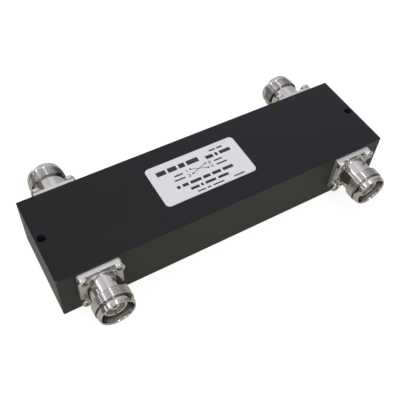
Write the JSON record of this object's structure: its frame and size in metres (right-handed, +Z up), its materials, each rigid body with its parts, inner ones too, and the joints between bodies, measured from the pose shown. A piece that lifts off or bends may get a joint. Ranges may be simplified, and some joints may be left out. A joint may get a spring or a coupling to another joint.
{
  "type": "hybrid coupler",
  "caption": "Coaxial hybrid coupler: a long black metal box with threaded round jacks on both long sides and two coupled flat lines inside.",
  "frame": {"origin": "middle of the flat underside", "axes": "+X along the box to the right, -Y towards the front with two of the jacks, +Z up to the labelled face"},
  "size_m": [0.192, 0.0932, 0.0312],
  "materials": {
    "black_coat": "satin black coat over milled aluminium",
    "label_film": "satin silver film label",
    "screw_steel": "plated steel",
    "plated_brass": "bright white-bronze plating, turned",
    "plated_spring_bronze": "satin white-bronze plating",
    "insulator_white": "matte white fluoroplastic",
    "silvered_contact": "silver plating",
    "line_brass": "bare brass sheet",
    "support_plastic": "matte natural plastic"
  },
  "bodies": {
    "root": {"housing": "black_coat", "bottom_cover": "black_coat", "label": "label_film", "cover_screws": "screw_steel", "flange_screws": "screw_steel", "jack_front_left_body": "plated_brass", "jack_front_left_sleeve": "plated_spring_bronze", "jack_front_left_insulator": "insulator_white", "jack_front_left_contact": "silvered_contact", "jack_front_right_body": "plated_brass", "jack_front_right_sleeve": "plated_spring_bronze", "jack_front_right_insulator": "insulator_white", "jack_front_right_contact": "silvered_contact", "jack_rear_left_body": "plated_brass", "jack_rear_left_sleeve": "plated_spring_bronze", "jack_rear_left_insulator": "insulator_white", "jack_rear_left_contact": "silvered_contact", "jack_rear_right_body": "plated_brass", "jack_rear_right_sleeve": "plated_spring_bronze", "jack_rear_right_insulator": "insulator_white", "jack_rear_right_contact": "silvered_contact", "upper_line": "line_brass", "lower_line": "line_brass", "lower_support_left": "support_plastic", "upper_support_left": "support_plastic", "gap_spacer_left": "support_plastic", "lower_support_right": "support_plastic", "upper_support_right": "support_plastic", "gap_spacer_right": "support_plastic"}
  },
  "joints": []
}
